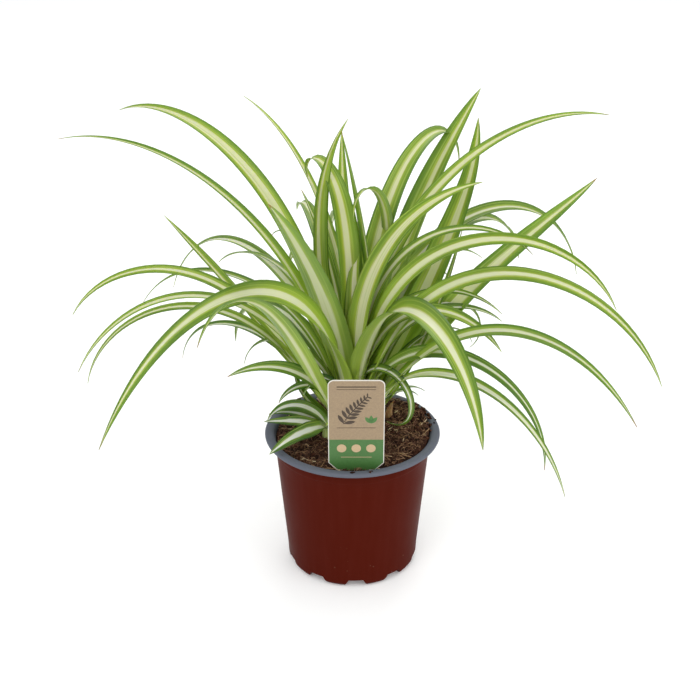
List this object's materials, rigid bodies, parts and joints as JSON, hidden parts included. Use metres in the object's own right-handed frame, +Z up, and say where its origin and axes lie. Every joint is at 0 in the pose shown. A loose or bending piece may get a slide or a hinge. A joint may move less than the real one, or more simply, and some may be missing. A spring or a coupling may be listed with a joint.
{
  "type": "potted spider plant",
  "caption": "Variegated spider plant with arching strap leaves in a thin tapered nursery pot, with its soil and a stake label.",
  "frame": {"origin": "on the pot's axis, at the level of the flat underside that the pot stands on", "axes": "+Z up along the pot's axis; -Y is the side with the label; +X is to the right seen from that side, along the plant's widest spread"},
  "size_m": [0.3893, 0.3655, 0.3146],
  "materials": {
    "pot": "satin",
    "soil": "matte",
    "plant_label": "satin",
    "leaves": "satin"
  },
  "bodies": {
    "root": {"pot": "pot", "soil": "soil", "plant_label": "plant_label", "crown_leaves": "leaves", "left_shoot": "leaves"}
  },
  "joints": []
}
